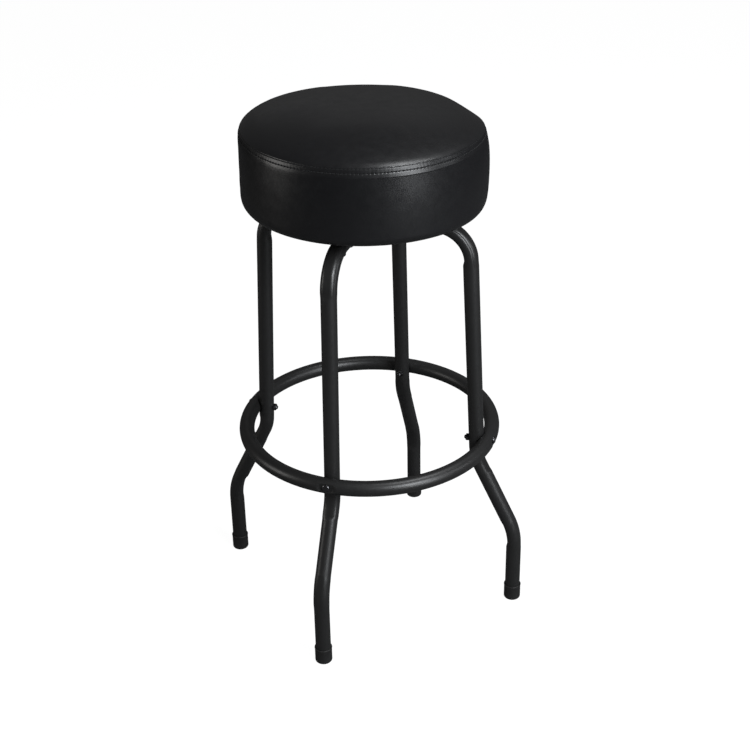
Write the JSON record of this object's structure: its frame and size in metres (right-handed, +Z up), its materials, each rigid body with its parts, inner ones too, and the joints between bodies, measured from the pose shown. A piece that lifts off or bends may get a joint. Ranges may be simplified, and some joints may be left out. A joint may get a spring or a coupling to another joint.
{
  "type": "padded swivel stool",
  "caption": "Tall round padded swivel stool with bent tube legs and a round foot ring bolted outside them, free standing.",
  "frame": {"origin": "on the floor under the swivel's axis", "axes": "+Z up along the swivel's axis, front towards -Y between two legs, +X to the right as seen from the front"},
  "size_m": [0.3852, 0.3852, 0.762],
  "materials": {
    "powder_coat": "satin",
    "plate_paint": "satin",
    "black_steel": "satin",
    "zinc_steel": "satin",
    "bearing_steel": "polished",
    "nylon": "matte",
    "plug_plastic": "matte",
    "rubber": "matte",
    "vinyl": "satin",
    "foam": "matte",
    "dust_cloth": "matte",
    "plywood": "matte"
  },
  "bodies": {
    "stand": {"foot_ring": "powder_coat", "swivel_lower_plate": "plate_paint", "pivot_bolt": "zinc_steel", "pivot_bushing": "nylon", "pivot_washer": "zinc_steel", "pivot_nut": "zinc_steel", "leg_back_right": "powder_coat", "foot_cap_back_right": "rubber", "leg_plug_back_right": "plug_plastic", "ring_bolt_back_right": "black_steel", "ring_nut_back_right": "black_steel", "leg_bolt_inner_back_right": "black_steel", "leg_nut_inner_back_right": "zinc_steel", "leg_bolt_outer_back_right": "black_steel", "leg_nut_outer_back_right": "zinc_steel", "leg_back_left": "powder_coat", "foot_cap_back_left": "rubber", "leg_plug_back_left": "plug_plastic", "ring_bolt_back_left": "black_steel", "ring_nut_back_left": "black_steel", "leg_bolt_inner_back_left": "black_steel", "leg_nut_inner_back_left": "zinc_steel", "leg_bolt_outer_back_left": "black_steel", "leg_nut_outer_back_left": "zinc_steel", "leg_front_left": "powder_coat", "foot_cap_front_left": "rubber", "leg_plug_front_left": "plug_plastic", "ring_bolt_front_left": "black_steel", "ring_nut_front_left": "black_steel", "leg_bolt_inner_front_left": "black_steel", "leg_nut_inner_front_left": "zinc_steel", "leg_bolt_outer_front_left": "black_steel", "leg_nut_outer_front_left": "zinc_steel", "leg_front_right": "powder_coat", "foot_cap_front_right": "rubber", "leg_plug_front_right": "plug_plastic", "ring_bolt_front_right": "black_steel", "ring_nut_front_right": "black_steel", "leg_bolt_inner_front_right": "black_steel", "leg_nut_inner_front_right": "zinc_steel", "leg_bolt_outer_front_right": "black_steel", "leg_nut_outer_front_right": "zinc_steel"},
    "ball_cage": {"ball_cage": "bearing_steel"},
    "seat": {"swivel_upper_plate": "plate_paint", "seat_board": "plywood", "dust_cover": "dust_cloth", "seat_foam": "foam", "cover_side_band": "vinyl", "cover_top_panel": "vinyl", "plate_screw_back_right": "zinc_steel", "plate_screw_back_left": "zinc_steel", "plate_screw_front_left": "zinc_steel", "plate_screw_front_right": "zinc_steel"}
  },
  "joints": [
    {"name": "seat_swivel", "type": "hinge", "parent": "stand", "child": "seat", "pos_m": [0, 0, 0.6201], "axis": [0, 0, 1], "continuous": true},
    {"name": "ball_cage_turn", "type": "hinge", "parent": "stand", "child": "ball_cage", "pos_m": [0, 0, 0.6201], "axis": [0, 0, 1], "continuous": true}
  ],
  "couplings": [
    {"joint": "ball_cage_turn", "follows": "seat_swivel", "ratio": 0.5}
  ]
}
